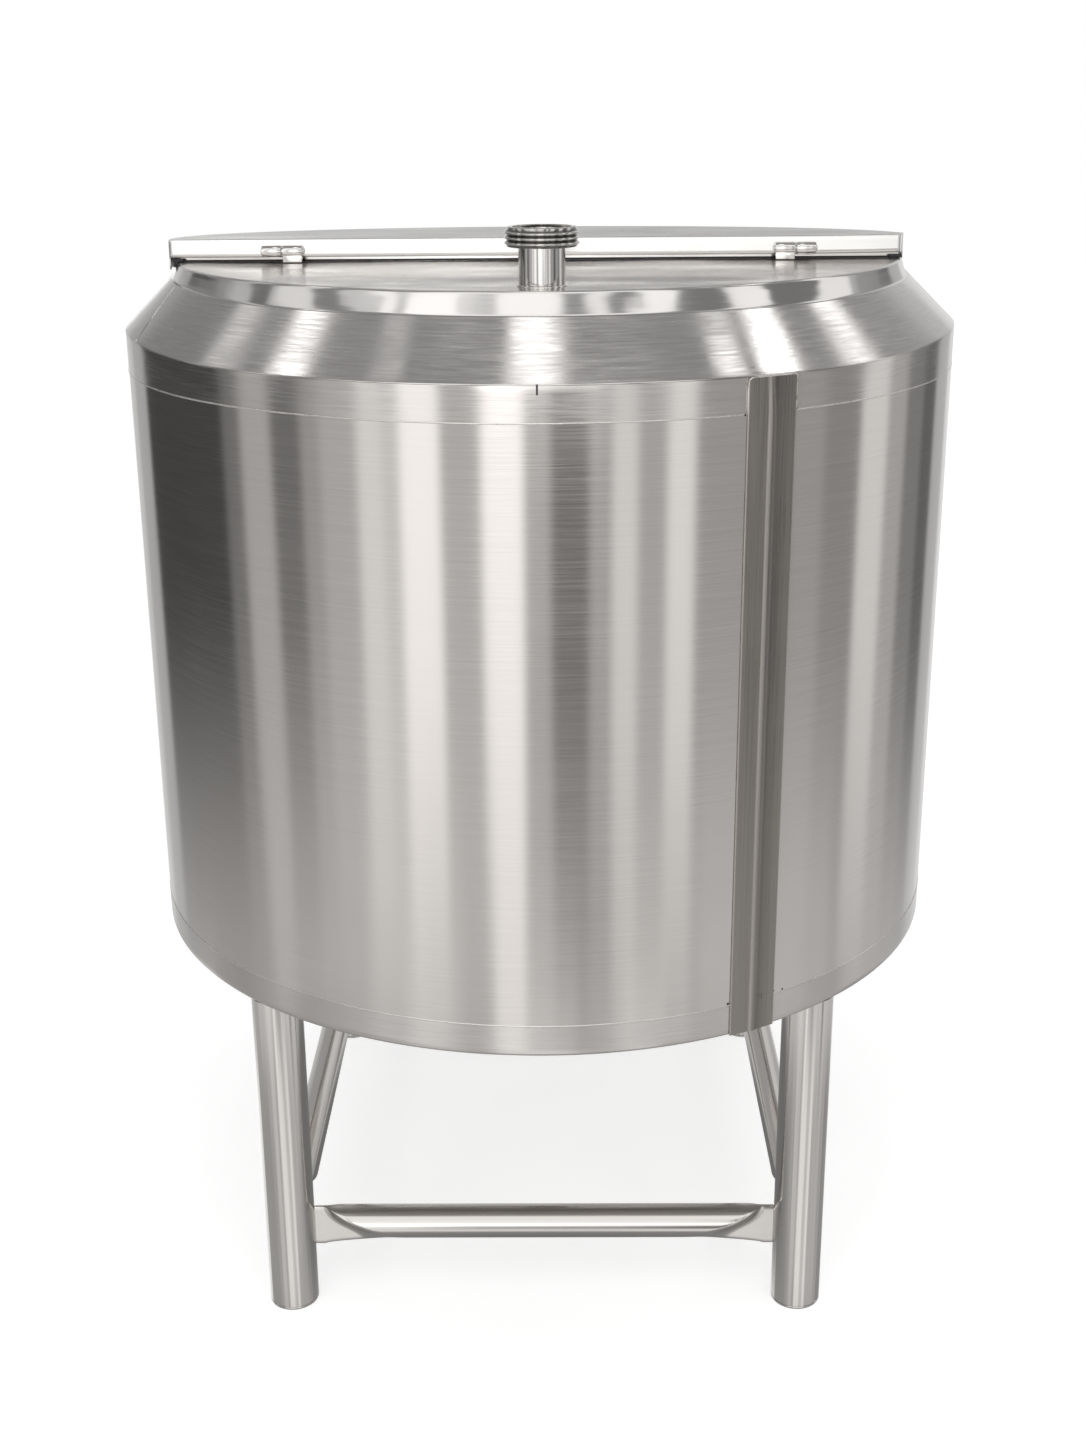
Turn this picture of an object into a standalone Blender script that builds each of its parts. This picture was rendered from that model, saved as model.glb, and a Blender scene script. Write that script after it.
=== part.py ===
"""A small jacketed stainless steel tank on four tube legs, with a half lid that hinges on a fixed half cover.

Metres, +Z up, front towards -Y. The origin is on the floor, under the tank's axis.
"""

import math

import bmesh
import bpy
from mathutils import Matrix, Vector

# Jacket
BODY_RADIUS = 0.500
BODY_BOTTOM = 0.429
LOWER_BAND_TOP = 0.466
UPPER_BAND_BOTTOM = 1.132
BODY_TOP = 1.172
JACKET_SHEET = 0.002
SHOULDER_BEND = 0.012
BEND_STEPS = 3

# Inner vessel and neck
NECK_BASE_RADIUS = 0.443
NECK_BASE = 1.2285
NECK_KNEE_RADIUS = 0.4378
NECK_KNEE = 1.2360
NECK_TOP_RADIUS = 0.4335
RIM_HEIGHT = 1.2525
NECK_SHEET = 0.002
VESSEL_WALL = 0.003
VESSEL_BOTTOM = 0.505
VESSEL_FALL = 0.020

# Seam strip on the jacket, at its angle to the right of the front
STRIP_ANGLE = math.radians(28.5)
STRIP_WIDTH = 0.059
STRIP_SHEET = 0.0015
RIDGE_RADIUS = 0.0045
RIDGE_RISE = 0.0022

# Fixed half cover
HINGE_LINE = -0.081
COVER_SHEET = 0.002
UPSTAND_HEIGHT = 0.011
UPSTAND_SHEET = 0.0015
SEAL_HEIGHT = 0.002
SEAL_WIDTH = 0.003

# Lid, in the frame of its hinge axis
LID_SHEET = 0.0015
LID_CLEARANCE = 0.0075
AXIS_BEFORE_FLANGE = 0.0068
AXIS_ABOVE_RIM = 0.0128
LID_RISE = 0.0134
FLANGE_HEIGHT = 0.0205
FLANGE_FACE = -0.0875
FLANGE_RIGHT_END = 0.4225
SKIRT_BOTTOM = 1.2445
CORNER_CUT = 0.027

# Hinges
HINGE_SPACING = 0.600
BARREL_RADIUS = 0.0065
KNUCKLE_LENGTH = 0.0235
KNUCKLE_GAP = 0.001
PIN_RADIUS = 0.003
TAB_DEPTH = 0.009
TAB_REACH = 0.85

# Threaded unions
TUBE_RADIUS = 0.02415
TUBE_WALL = 0.0015
UNION_X = 0.006
UNION_Y = -0.378
UNION_HEIGHT = 0.059
COLLAR_HEIGHT = 0.0178
THREAD_RADIUS = 0.0365
THREAD_DEPTH = 0.0024
THREAD_START = 0.0022
THREAD_PITCH = 0.0049
THREADS = 3
THREAD_FLANKS = (0.05, 0.30, 0.65, 0.90)
RECESS_RADIUS = 0.0285
RECESS_DEPTH = 0.0035
BORE_LIP = 0.002
OUTLET_END = 0.365

# Stand
LEG_X = 0.316
LEG_Y = 0.346
LEG_RADIUS = 0.03015
LEG_WALL = 0.002
FOOT_THICKNESS = 0.004
FOOT_ROUND = 0.0025
RAIL_HEIGHT = 0.111
RAIL_RADIUS = 0.0205
BLADE_HALF_HEIGHT = 0.0265
BLADE_DROP = 0.005
BLADE_HALF_THICKNESS = 0.0025
BLADE_LENGTH = 0.018
BLADE_SQUARENESS = 5.0
PRESSED_LENGTH = 0.100
PRESSED_STEPS = 5
RAIL_SEGMENTS = 20

SEAT = 0.0003
THROUGH = 0.010
RING_SEGMENTS = 80
TUBE_SEGMENTS = 24


def steel(name, colour, roughness, metallic=1.0):
    material = bpy.data.materials.new(name)
    material.use_nodes = True
    shader = material.node_tree.nodes["Principled BSDF"]
    shader.inputs["Base Color"].default_value = (*colour, 1.0)
    shader.inputs["Roughness"].default_value = roughness
    shader.inputs["Metallic"].default_value = metallic
    return material


def clear_scene():
    for obj in list(bpy.data.objects):
        bpy.data.objects.remove(obj, do_unlink=True)


def add(name, bm, material, parent=None, smooth=True):
    bmesh.ops.recalc_face_normals(bm, faces=bm.faces)
    mesh = bpy.data.meshes.new(name)
    bm.to_mesh(mesh)
    bm.free()
    mesh.materials.append(material)
    if smooth:
        mesh.shade_smooth()
        mesh.set_sharp_from_angle(angle=math.radians(30))
    obj = bpy.data.objects.new(name, mesh)
    bpy.context.scene.collection.objects.link(obj)
    obj.parent = parent
    return obj


def turned(profile, segments=RING_SEGMENTS):
    """A closed (radius, height) outline turned round the Z axis. A point at radius 0 closes on the axis."""
    bm = bmesh.new()
    verts = [bm.verts.new((radius, 0, height)) for radius, height in profile]
    edges = [bm.edges.new((a, b)) for a, b in zip(verts, verts[1:] + verts[:1])]
    edges = [edge for edge in edges if any(vert.co.x > 0 for vert in edge.verts)]
    bmesh.ops.spin(
        bm,
        geom=verts + edges,
        cent=(0, 0, 0),
        axis=(0, 0, 1),
        angle=math.tau,
        steps=segments,
        use_merge=True,
    )
    bmesh.ops.remove_doubles(bm, verts=bm.verts, dist=1e-6)
    loose = [edge for edge in bm.edges if not edge.link_faces]
    bmesh.ops.delete(bm, geom=loose, context="EDGES")
    return bm


def extruded(outline, bottom, top):
    """A closed (x, y) outline raised from one height to another."""
    bm = bmesh.new()
    face = bm.faces.new([bm.verts.new((x, y, bottom)) for x, y in outline])
    raised = bmesh.ops.extrude_face_region(bm, geom=[face])["geom"]
    up = [item for item in raised if isinstance(item, bmesh.types.BMVert)]
    bmesh.ops.translate(bm, verts=up, vec=(0, 0, top - bottom))
    return bm


def box(low, high):
    bm = bmesh.new()
    bmesh.ops.create_cube(bm, size=1.0)
    size = Vector(high) - Vector(low)
    bmesh.ops.scale(bm, vec=size, verts=bm.verts)
    bmesh.ops.translate(bm, vec=(Vector(high) + Vector(low)) / 2, verts=bm.verts)
    return bm


def rod(radius, length, segments=TUBE_SEGMENTS):
    """A round bar along X, with its middle at the origin."""
    bm = bmesh.new()
    bmesh.ops.create_cone(
        bm, cap_ends=True, segments=segments, radius1=radius, radius2=radius, depth=length
    )
    bmesh.ops.rotate(bm, verts=bm.verts, matrix=Matrix.Rotation(math.pi / 2, 3, "Y"))
    return bm


def moved(bm, offset):
    bmesh.ops.translate(bm, verts=bm.verts, vec=offset)
    return bm


def arc(radius, start, end, steps, centre=(0.0, 0.0)):
    """Points on a circle. Angles run from +X towards +Y."""
    angles = [start + (end - start) * i / steps for i in range(steps + 1)]
    return [(centre[0] + radius * math.cos(a), centre[1] + radius * math.sin(a)) for a in angles]


def cut_hole(obj, radius, place, depth):
    """A round hole down through the object, cut by a cylinder that isn't rendered."""
    bm = bmesh.new()
    bmesh.ops.create_cone(
        bm, cap_ends=True, segments=TUBE_SEGMENTS, radius1=radius, radius2=radius, depth=depth
    )
    cutter = add(obj.name + "_cutter", moved(bm, place), obj.data.materials[0], smooth=False)
    cutter.hide_render = True
    cutter.display_type = "WIRE"
    modifier = obj.modifiers.new("hole", "BOOLEAN")
    modifier.object = cutter
    modifier.operation = "DIFFERENCE"
    modifier.solver = "EXACT"


def sheet_ring(name, radius, bottom, top, thickness, material):
    inner = radius - thickness
    profile = [(radius, top), (radius, bottom), (inner, bottom), (inner, top)]
    add(name, turned(profile), material)


def jacket(brushed, band_steel):
    sheet_ring(
        "outer_shell",
        BODY_RADIUS,
        LOWER_BAND_TOP + SEAT,
        UPPER_BAND_BOTTOM - SEAT,
        JACKET_SHEET,
        brushed,
    )
    sheet_ring("upper_band", BODY_RADIUS, UPPER_BAND_BOTTOM, BODY_TOP, JACKET_SHEET, band_steel)
    sheet_ring("lower_band", BODY_RADIUS, BODY_BOTTOM, LOWER_BAND_TOP, JACKET_SHEET, band_steel)
    add("shoulder_cone", turned(shoulder_profile()), brushed)


def shoulder_profile():
    """The shoulder's outline: upright on the jacket, then a bend, then a straight slope up to the neck."""
    centre = (BODY_RADIUS - SHOULDER_BEND, BODY_TOP + SEAT)
    neck_side = NECK_BASE_RADIUS + SEAT
    across, up = neck_side - centre[0], NECK_BASE - centre[1]
    turn = math.atan2(up, across) - math.acos(SHOULDER_BEND / math.hypot(across, up))
    outside = arc(SHOULDER_BEND, 0.0, turn, BEND_STEPS, centre)
    inside = arc(SHOULDER_BEND - JACKET_SHEET, turn, 0.0, BEND_STEPS, centre)
    drop = JACKET_SHEET / math.sin(turn)
    return outside + [(neck_side, NECK_BASE), (neck_side, NECK_BASE - drop)] + inside


def seam_strip(material):
    """A flat strip with a rounded ridge along its middle, over the jacket's upright seam."""
    inner = BODY_RADIUS + SEAT
    outer = inner + STRIP_SHEET
    half = STRIP_WIDTH / 2 / BODY_RADIUS
    ridge = RIDGE_RADIUS / BODY_RADIUS
    middle = STRIP_ANGLE - math.pi / 2
    steps = 4
    outline = arc(inner, middle + half, middle - half, 3 * steps)
    outline += arc(outer, middle - half, middle - ridge, steps)
    for i in range(1, 2 * steps):
        turn = math.pi * i / (2 * steps)
        radius = outer + RIDGE_RISE * math.sin(turn)
        angle = middle - ridge * math.cos(turn)
        outline.append((radius * math.cos(angle), radius * math.sin(angle)))
    outline += arc(outer, middle + ridge, middle + half, steps)
    add("seam_strip", extruded(outline, BODY_BOTTOM, BODY_TOP), material)


def neck_and_vessel(brushed, inside_steel):
    neck = [
        (NECK_TOP_RADIUS, RIM_HEIGHT),
        (NECK_KNEE_RADIUS, NECK_KNEE),
        (NECK_BASE_RADIUS, NECK_BASE + SEAT),
        (NECK_BASE_RADIUS - NECK_SHEET, NECK_BASE + SEAT),
        (NECK_KNEE_RADIUS - NECK_SHEET, NECK_KNEE),
        (NECK_TOP_RADIUS - NECK_SHEET, RIM_HEIGHT),
    ]
    add("neck_ring", turned(neck), brushed)
    sheet_ring(
        "inner_wall", NECK_BASE_RADIUS, VESSEL_BOTTOM, NECK_BASE, VESSEL_WALL, inside_steel
    )
    edge = NECK_BASE_RADIUS - VESSEL_WALL - SEAT
    bore = TUBE_RADIUS + SEAT
    low = VESSEL_BOTTOM - VESSEL_FALL
    bottom = [
        (edge, VESSEL_BOTTOM + VESSEL_WALL),
        (edge, VESSEL_BOTTOM),
        (bore, low),
        (bore, low + VESSEL_WALL),
    ]
    add("inner_bottom", turned(bottom), inside_steel)
    underside = [
        (BODY_RADIUS - JACKET_SHEET - SEAT, BODY_BOTTOM + JACKET_SHEET),
        (BODY_RADIUS - JACKET_SHEET - SEAT, BODY_BOTTOM),
        (bore, BODY_BOTTOM),
        (bore, BODY_BOTTOM + JACKET_SHEET),
    ]
    add("underside_plate", turned(underside), brushed)


def collar_profile(top, down=1):
    """A union's threaded ring, its flat face at height top. Down is -1 on a ring that faces the floor."""
    bore = TUBE_RADIUS - TUBE_WALL
    outside = TUBE_RADIUS + SEAT
    root = THREAD_RADIUS - THREAD_DEPTH
    lip = RECESS_DEPTH + BORE_LIP
    foot, crest, crest_end, foot_end = THREAD_FLANKS
    points = [(RECESS_RADIUS, 0.0), (root, 0.0)]
    for thread in range(THREADS):
        start = THREAD_START + thread * THREAD_PITCH
        points += [(root, start + foot * THREAD_PITCH), (THREAD_RADIUS, start + crest * THREAD_PITCH)]
        points += [(THREAD_RADIUS, start + crest_end * THREAD_PITCH), (root, start + foot_end * THREAD_PITCH)]
    points += [(root, COLLAR_HEIGHT), (outside, COLLAR_HEIGHT), (outside, lip)]
    points += [(bore, lip), (bore, RECESS_DEPTH), (RECESS_RADIUS, RECESS_DEPTH)]
    return [(radius, top - down * depth) for radius, depth in points]


def tube_profile(bottom, top):
    bore = TUBE_RADIUS - TUBE_WALL
    return [(TUBE_RADIUS, top), (TUBE_RADIUS, bottom), (bore, bottom), (bore, top)]


def unions(polished):
    """The threaded inlet on the fixed cover, and the like outlet under the vessel."""
    place = (UNION_X, UNION_Y, 0)
    tube_end = RECESS_DEPTH + BORE_LIP + SEAT
    top = RIM_HEIGHT + UNION_HEIGHT
    inlet = turned(tube_profile(RIM_HEIGHT - THROUGH, top - tube_end), TUBE_SEGMENTS)
    add("union_tube", moved(inlet, place), polished)
    add("union_collar", moved(turned(collar_profile(top), TUBE_SEGMENTS), place), polished)
    inside = VESSEL_BOTTOM - VESSEL_FALL + VESSEL_WALL
    add("outlet_tube", turned(tube_profile(OUTLET_END + tube_end, inside), TUBE_SEGMENTS), polished)
    add("outlet_collar", turned(collar_profile(OUTLET_END, -1), TUBE_SEGMENTS), polished)


def fixed_cover(cover_steel, rubber):
    radius = NECK_TOP_RADIUS - NECK_SHEET - 2 * SEAT
    turn = math.asin(-HINGE_LINE / radius)
    outline = arc(radius, math.pi + turn, math.tau - turn, RING_SEGMENTS // 2)
    cover = add("fixed_cover", extruded(outline, RIM_HEIGHT - COVER_SHEET, RIM_HEIGHT), cover_steel)
    cut_hole(cover, TUBE_RADIUS + SEAT, (UNION_X, UNION_Y, RIM_HEIGHT), 4 * COVER_SHEET)
    end = math.sqrt(radius**2 - HINGE_LINE**2) - 2 * SEAT
    front = HINGE_LINE + SEAT
    upstand = box(
        (-end, front, RIM_HEIGHT - COVER_SHEET - THROUGH),
        (end, front + UPSTAND_SHEET, RIM_HEIGHT + UPSTAND_HEIGHT),
    )
    add("cover_upstand", upstand, cover_steel)
    seal = box(
        (-end, front - SEAT - SEAL_WIDTH, RIM_HEIGHT + SEAT),
        (end, front - SEAT, RIM_HEIGHT + SEAT + SEAL_HEIGHT),
    )
    add("hinge_line_seal", seal, rubber)


def lid_pivot():
    """The lid's frame: its origin on the hinge axis, its plate falling to the back onto the neck's rim."""
    axis_y = FLANGE_FACE - AXIS_BEFORE_FLANGE
    axis_z = RIM_HEIGHT + AXIS_ABOVE_RIM
    run = NECK_TOP_RADIUS - axis_y
    rise = AXIS_ABOVE_RIM + LID_RISE - LID_SHEET - SEAT
    fall = math.atan2(rise, run)
    pivot = bpy.data.objects.new("lid_pivot", None)
    pivot.location = (0, axis_y, axis_z)
    pivot.rotation_euler = (-fall, 0, 0)
    bpy.context.scene.collection.objects.link(pivot)
    return pivot, fall


def flange_outline(left_end, skirt_start, skirt_line):
    """The front flange from above: straight along the hinge line, then round the cut corner to the skirt."""
    front = AXIS_BEFORE_FLANGE
    corner = Vector((FLANGE_RIGHT_END, front))
    along = (skirt_start - corner).normalized()
    inward = Vector((-along.y, along.x))
    mitre = LID_SHEET * math.tan(math.atan2(along.y, along.x) / 2)
    outside_end = skirt_start - along * (SEAT / along.dot(skirt_line))
    overlap = (SEAT + LID_SHEET * inward.dot(skirt_line)) / along.dot(skirt_line)
    inside_end = skirt_start + inward * LID_SHEET - along * overlap
    outline = [(left_end, front), corner, outside_end, inside_end]
    return outline + [(corner.x - mitre, front + LID_SHEET), (left_end, front + LID_SHEET)]


def lid(lid_steel, pivot, fall):
    """A half round pan: a plate, a straight flange along the hinge line and a skirt round the back."""
    outer = NECK_TOP_RADIUS + LID_CLEARANCE + LID_SHEET
    inner = outer - LID_SHEET
    centre = (0.0, -pivot.location.y / math.cos(fall))
    front = AXIS_BEFORE_FLANGE
    below_centre = centre[1] - front
    left_turn = math.asin(below_centre / outer)
    right_turn = math.asin((below_centre - CORNER_CUT) / outer)
    left_end = -outer * math.cos(left_turn)
    plate = arc(outer, -right_turn, math.pi + left_turn, RING_SEGMENTS // 2, centre)
    plate.append((FLANGE_RIGHT_END, front))
    add("lid_plate", extruded(plate, LID_RISE - LID_SHEET, LID_RISE), lid_steel, pivot)

    under = LID_RISE - LID_SHEET - SEAT
    skirt_start = Vector(plate[0])
    skirt_line = Vector((math.sin(right_turn), math.cos(right_turn)))
    outline = flange_outline(left_end, skirt_start, skirt_line)
    add("lid_front_flange", extruded(outline, LID_RISE - FLANGE_HEIGHT, under), lid_steel, pivot)

    skirt_front = below_centre - LID_SHEET - SEAT
    left_turn = math.asin(skirt_front / outer)
    sweep = (-right_turn, math.pi + left_turn)
    outline = arc(outer, *sweep, RING_SEGMENTS // 2, centre)
    outline += reversed(arc(inner, *sweep, RING_SEGMENTS // 2, centre))
    lowest = SKIRT_BOTTOM - pivot.location.z
    skirt = extruded(outline, lowest - THROUGH, under)
    level = Vector((0, -math.sin(fall), math.cos(fall)))
    cut = bmesh.ops.bisect_plane(
        skirt,
        geom=skirt.verts[:] + skirt.edges[:] + skirt.faces[:],
        plane_co=level * lowest,
        plane_no=level,
        clear_inner=True,
    )
    rim = [item for item in cut["geom_cut"] if isinstance(item, bmesh.types.BMEdge)]
    bmesh.ops.contextual_create(skirt, geom=rim)
    add("lid_skirt", skirt, lid_steel, pivot)


def knuckle(pin_hole=PIN_RADIUS + SEAT):
    """A short tube along X for the hinge pin, with its middle at the origin."""
    bm = turned(
        [
            (BARREL_RADIUS, KNUCKLE_LENGTH / 2),
            (BARREL_RADIUS, -KNUCKLE_LENGTH / 2),
            (pin_hole, -KNUCKLE_LENGTH / 2),
            (pin_hole, KNUCKLE_LENGTH / 2),
        ],
        TUBE_SEGMENTS,
    )
    bmesh.ops.rotate(bm, verts=bm.verts, matrix=Matrix.Rotation(math.pi / 2, 3, "Y"))
    return bm


def hinges(polished, pivot):
    """Two weld-on hinges: the inner knuckle of each stands on the fixed cover, the outer one is on the lid."""
    for side, sign in (("left", -1), ("right", 1)):
        middle = sign * HINGE_SPACING / 2
        step = (KNUCKLE_LENGTH + KNUCKLE_GAP) / 2
        add(f"hinge_{side}_lid_knuckle", moved(knuckle(), (middle + sign * step, 0, 0)), polished, pivot)
        x = middle - sign * step
        place = Vector((x, pivot.location.y, pivot.location.z))
        fixed = add(f"hinge_{side}_fixed_knuckle", moved(knuckle(), place), polished)
        foot = box(
            (x - KNUCKLE_LENGTH / 2, place.y - TAB_DEPTH / 2, RIM_HEIGHT + SEAT),
            (x + KNUCKLE_LENGTH / 2, place.y + TAB_DEPTH / 2, place.z - TAB_REACH * BARREL_RADIUS),
        )
        tab = add(f"hinge_{side}_tab", foot, polished, smooth=False)
        tab.hide_render = True
        tab.display_type = "WIRE"
        modifier = fixed.modifiers.new("tab", "BOOLEAN")
        modifier.object = tab
        modifier.operation = "UNION"
        modifier.solver = "EXACT"
        pin = rod(PIN_RADIUS, 2 * KNUCKLE_LENGTH + 3 * KNUCKLE_GAP, TUBE_SEGMENTS // 2)
        add(f"hinge_{side}_pin", moved(pin, (middle, place.y, place.z)), polished)


def rail(length):
    """A tube along X with both ends pressed into upright blades. Each section is a ring of the tube, reshaped."""
    bm = bmesh.new()
    half = length / 2
    stations = [(0.0, 1.0), (BLADE_LENGTH, 1.0)]
    for i in range(1, PRESSED_STEPS + 1):
        part = i / PRESSED_STEPS
        pressed = 0.5 + 0.5 * math.cos(math.pi * part)
        stations.append((BLADE_LENGTH + part * (PRESSED_LENGTH - BLADE_LENGTH), pressed))
    sections = [(-half + s, pressed) for s, pressed in stations]
    sections += [(half - s, pressed) for s, pressed in reversed(stations)]
    first = bmesh.ops.create_circle(bm, cap_ends=True, radius=1.0, segments=RAIL_SEGMENTS)["verts"]
    bmesh.ops.rotate(bm, verts=first, matrix=Matrix.Rotation(math.pi / 2, 3, "Y"))
    face = bm.faces[:][0]
    for number, (x, pressed) in enumerate(sections):
        if number:
            raised = bmesh.ops.extrude_face_region(bm, geom=[face])["geom"]
            new = [item for item in raised if isinstance(item, bmesh.types.BMFace)][0]
            if number > 1:
                bmesh.ops.delete(bm, geom=[face], context="FACES_ONLY")
            face = new
        height = RAIL_RADIUS + pressed * (BLADE_HALF_HEIGHT - RAIL_RADIUS)
        depth = RAIL_RADIUS + pressed * (BLADE_HALF_THICKNESS - RAIL_RADIUS)
        squareness = 1.0 + BLADE_SQUARENESS * pressed
        for i, vert in enumerate(face.verts):
            angle = math.tau * i / len(face.verts)
            y, z = math.cos(angle), math.sin(angle)
            reach = (abs(y) ** (2 * squareness) + abs(z) ** (2 * squareness)) ** (0.5 / squareness)
            vert.co = (x, depth * y / reach, height * z / reach - pressed * BLADE_DROP)
    return bm


def stand(brushed, polished):
    """Four legs with closed feet, and a rail between each two of them."""
    rails = (
        ("rail_front", 0, -LEG_Y, LEG_X, 0.0),
        ("rail_rear", 0, LEG_Y, LEG_X, 0.0),
        ("rail_left", -LEG_X, 0, LEG_Y, math.pi / 2),
        ("rail_right", LEG_X, 0, LEG_Y, math.pi / 2),
    )
    for name, x, y, reach, turn in rails:
        bm = rail(2 * (reach - LEG_RADIUS - SEAT))
        bmesh.ops.rotate(bm, verts=bm.verts, matrix=Matrix.Rotation(turn, 3, "Z"))
        add(name, moved(bm, (x, y, RAIL_HEIGHT)), polished)
    inner = LEG_RADIUS - LEG_WALL
    bottom = FOOT_THICKNESS + SEAT
    top = BODY_BOTTOM - SEAT
    leg = [(LEG_RADIUS, top), (LEG_RADIUS, bottom), (inner, bottom), (inner, top)]
    foot = [
        (0, FOOT_THICKNESS),
        (LEG_RADIUS, FOOT_THICKNESS),
        (LEG_RADIUS, FOOT_ROUND),
        (LEG_RADIUS - 0.3 * FOOT_ROUND, 0.3 * FOOT_ROUND),
        (LEG_RADIUS - FOOT_ROUND, 0),
        (0, 0),
    ]
    for end, y in (("front", -LEG_Y), ("rear", LEG_Y)):
        for side, x in (("left", -LEG_X), ("right", LEG_X)):
            add(f"leg_{end}_{side}", moved(turned(leg, TUBE_SEGMENTS), (x, y, 0)), brushed)
            add(f"foot_{end}_{side}", moved(turned(foot, TUBE_SEGMENTS), (x, y, 0)), brushed)


def main():
    clear_scene()
    brushed = steel("brushed_steel", (0.60, 0.59, 0.57), 0.28)
    band_steel = steel("band_steel", (0.62, 0.61, 0.59), 0.32)
    inside_steel = steel("inside_steel", (0.58, 0.57, 0.55), 0.35)
    cover_steel = steel("cover_steel", (0.66, 0.65, 0.63), 0.30)
    lid_steel = steel("lid_steel", (0.72, 0.71, 0.70), 0.30)
    polished = steel("polished_steel", (0.63, 0.62, 0.60), 0.15)
    rubber = steel("seal_rubber", (0.02, 0.02, 0.02), 0.6, metallic=0.0)
    jacket(brushed, band_steel)
    seam_strip(brushed)
    neck_and_vessel(brushed, inside_steel)
    fixed_cover(cover_steel, rubber)
    unions(polished)
    pivot, fall = lid_pivot()
    lid(lid_steel, pivot, fall)
    hinges(polished, pivot)
    stand(brushed, polished)


main()
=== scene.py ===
import math

import bmesh
import bpy
from mathutils import Matrix, Vector, noise


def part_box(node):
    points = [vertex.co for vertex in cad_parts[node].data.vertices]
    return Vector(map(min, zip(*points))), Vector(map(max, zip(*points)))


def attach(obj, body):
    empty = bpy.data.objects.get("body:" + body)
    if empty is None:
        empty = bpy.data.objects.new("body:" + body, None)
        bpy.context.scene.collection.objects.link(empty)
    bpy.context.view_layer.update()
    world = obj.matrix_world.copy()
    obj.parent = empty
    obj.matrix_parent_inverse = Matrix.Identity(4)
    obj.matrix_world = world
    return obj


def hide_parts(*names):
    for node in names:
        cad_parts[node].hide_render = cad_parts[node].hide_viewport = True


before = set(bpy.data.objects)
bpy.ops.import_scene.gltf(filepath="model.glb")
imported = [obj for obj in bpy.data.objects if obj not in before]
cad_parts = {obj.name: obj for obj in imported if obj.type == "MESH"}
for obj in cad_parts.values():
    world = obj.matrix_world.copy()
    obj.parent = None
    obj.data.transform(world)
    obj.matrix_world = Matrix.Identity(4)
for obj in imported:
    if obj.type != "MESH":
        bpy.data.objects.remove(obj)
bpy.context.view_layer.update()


# Legs: four 60.3 mm stainless tubes, drawn, polished and welded upright under the jacket.
# Each is closed with a pressed foot that has a rounded edge, welded on and ground flush.
def turned(profile, segments, place=(0.0, 0.0, 0.0), closed=True):
    """An outline of (radius, height) points turned once round an upright axis."""
    bm = bmesh.new()
    verts = [bm.verts.new((radius, 0, height)) for radius, height in profile]
    pairs = list(zip(verts, verts[1:]))
    if closed:
        pairs.append((verts[-1], verts[0]))
    edges = [bm.edges.new(pair) for pair in pairs if max(v.co.x for v in pair) > 0]
    bmesh.ops.spin(
        bm, geom=verts + edges, cent=(0, 0, 0), axis=(0, 0, 1), angle=math.tau, steps=segments, use_merge=True
    )
    bmesh.ops.remove_doubles(bm, verts=bm.verts, dist=1e-6)
    bmesh.ops.translate(bm, verts=bm.verts, vec=place)
    return bm


def rounded(corner, size, start, end, steps=5):
    """Points round a corner's centre of curvature, from one angle to another, in degrees."""
    angles = [math.radians(start + (end - start) * i / steps) for i in range(steps + 1)]
    return [(corner[0] + size * math.cos(a), corner[1] + size * math.sin(a)) for a in angles]


def as_object(name, bm):
    """Makes an object of a finished mesh and puts it in the scene."""
    mesh = bpy.data.meshes.new(name)
    bm.to_mesh(mesh)
    bm.free()
    made = bpy.data.objects.new(name, mesh)
    bpy.context.scene.collection.objects.link(made)
    return made


def piece(name, bm, finish, body, nodes=(), crease=35):
    """The mesh as a piece of the part, riding on a body in place of its CAD nodes."""
    bmesh.ops.recalc_face_normals(bm, faces=bm.faces)
    made = as_object(name, bm)
    made.data.materials.append(finish)
    made.data.shade_smooth()
    made.data.set_sharp_from_angle(angle=math.radians(crease))
    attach(made, body)
    if nodes:
        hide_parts(*nodes)
    return made


def shader_node(tree, kind, inputs, out=None, **settings):
    """Adds a node and gives its output. Each input is a plain value or another node's output."""
    made = tree.nodes.new(kind)
    for setting, value in settings.items():
        setattr(made, setting, value)
    for socket, value in inputs.items():
        if isinstance(value, bpy.types.NodeSocket):
            tree.links.new(value, made.inputs[socket])
        else:
            made.inputs[socket].default_value = value
    return made.outputs[out] if out else next((socket for socket in made.outputs if socket.enabled), None)


def math_node(tree, operation, *terms):
    """What one operation makes of its numbers."""
    return shader_node(tree, "ShaderNodeMath", dict(enumerate(terms)), operation=operation)


def vector_node(tree, operation, *terms):
    """What one operation makes of its vectors."""
    return shader_node(tree, "ShaderNodeVectorMath", dict(enumerate(terms)), operation=operation)


def mapped(tree, value, start, end, low=0.0, high=1.0, run="LINEAR"):
    """Maps a value's way from start to end onto that from low to high, and holds it there past the ends."""
    limits = {"Value": value, "From Min": start, "From Max": end, "To Min": low, "To Max": high}
    return shader_node(tree, "ShaderNodeMapRange", limits, interpolation_type=run)


def new_material(name):
    """A material with its nodes and its shader."""
    material = bpy.data.materials.new(name)
    material.use_nodes = True
    return material, material.node_tree, material.node_tree.nodes["Principled BSDF"]


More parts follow.
